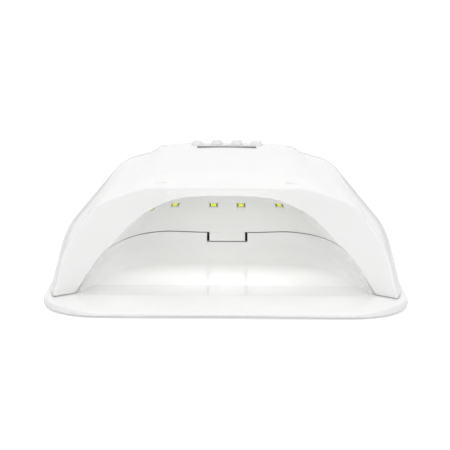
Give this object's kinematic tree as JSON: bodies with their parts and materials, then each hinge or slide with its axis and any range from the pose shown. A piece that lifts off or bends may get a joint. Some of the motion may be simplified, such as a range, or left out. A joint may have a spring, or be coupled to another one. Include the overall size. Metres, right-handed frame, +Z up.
{
  "type": "led nail lamp",
  "caption": "Table-top nail curing lamp: an open-fronted domed head with LEDs over a hand space, on a loose tray",
  "frame": {"origin": "centre of the footprint on the table, at the undersides of the rubber feet", "axes": "+X to the right seen from the open front, +Y to the back, +Z up"},
  "size_m": [0.2314, 0.1991, 0.0981],
  "materials": {
    "white_shell": "glossy white moulded plastic",
    "white_liner": "soft gloss white moulded plastic",
    "button_white": "glossy white moulded plastic",
    "foot_rubber": "soft grey rubber",
    "magnet_nickel": "nickel-plated",
    "screw_steel": "zinc-plated",
    "window_tint": "tinted glossy lens",
    "black_plastic": "matte black moulded plastic",
    "connector_nylon": "natural nylon",
    "capacitor_can": "sleeved can",
    "board_laminate": "white solder mask on laminate",
    "led_amber": "yellow phosphor dome in a white body",
    "sensor_lens": "dark clear lens",
    "plated_brass": "plated",
    "wire_pvc": "soft insulation"
  },
  "bodies": {
    "tray": {"base_tray": "white_shell", "tray_feet": "foot_rubber", "tray_magnets": "magnet_nickel"},
    "lamp_head": {"outer_cover": "white_shell", "inner_liner": "white_liner", "mouth_bezel": "white_shell", "bottom_frame": "black_plastic", "head_magnets": "magnet_nickel", "frame_screws": "screw_steel", "display_window": "window_tint", "display_module": "black_plastic", "control_board": "board_laminate", "board_screws": "screw_steel", "board_components": "black_plastic", "tact_switches": "black_plastic", "led_boards_rear": "board_laminate", "led_boards_sides": "board_laminate", "led_boards_top": "board_laminate", "leds_rear": "led_amber", "leds_sides": "led_amber", "leds_top": "led_amber", "sensor_board": "board_laminate", "sensor_emitter": "sensor_lens", "sensor_receiver": "sensor_lens", "inlet_socket": "black_plastic", "inlet_pin": "plated_brass", "inlet_terminals": "plated_brass", "inlet_board": "board_laminate", "inlet_screws": "screw_steel", "inlet_capacitor": "capacitor_can", "inlet_plug": "connector_nylon", "power_wires": "wire_pvc", "led_cable_left": "wire_pvc", "led_cable_top": "wire_pvc", "led_cable_right": "wire_pvc", "led_jumpers": "wire_pvc"},
    "push_10s": {"button_10s": "button_white", "switch_plunger_10s": "black_plastic"},
    "push_30s": {"button_30s": "button_white", "switch_plunger_30s": "black_plastic"},
    "push_60s": {"button_60s": "button_white", "switch_plunger_60s": "black_plastic"},
    "push_99s": {"button_99s": "button_white", "switch_plunger_99s": "black_plastic"}
  },
  "joints": [
    {"name": "head_lift", "type": "slide", "parent": "tray", "child": "lamp_head", "axis": [0, 0, 1], "range_m": [0, 0.045]},
    {"name": "press_10s", "type": "slide", "parent": "lamp_head", "child": "push_10s", "axis": [0, 0, -1], "range_m": [0, 0.0005], "stiffness_N_per_m": 800, "springref_m": -0.0005},
    {"name": "press_30s", "type": "slide", "parent": "lamp_head", "child": "push_30s", "axis": [0, 0, -1], "range_m": [0, 0.0005], "stiffness_N_per_m": 800, "springref_m": -0.0005},
    {"name": "press_60s", "type": "slide", "parent": "lamp_head", "child": "push_60s", "axis": [0, 0, -1], "range_m": [0, 0.0005], "stiffness_N_per_m": 800, "springref_m": -0.0005},
    {"name": "press_99s", "type": "slide", "parent": "lamp_head", "child": "push_99s", "axis": [0, 0, -1], "range_m": [0, 0.0005], "stiffness_N_per_m": 800, "springref_m": -0.0005}
  ]
}
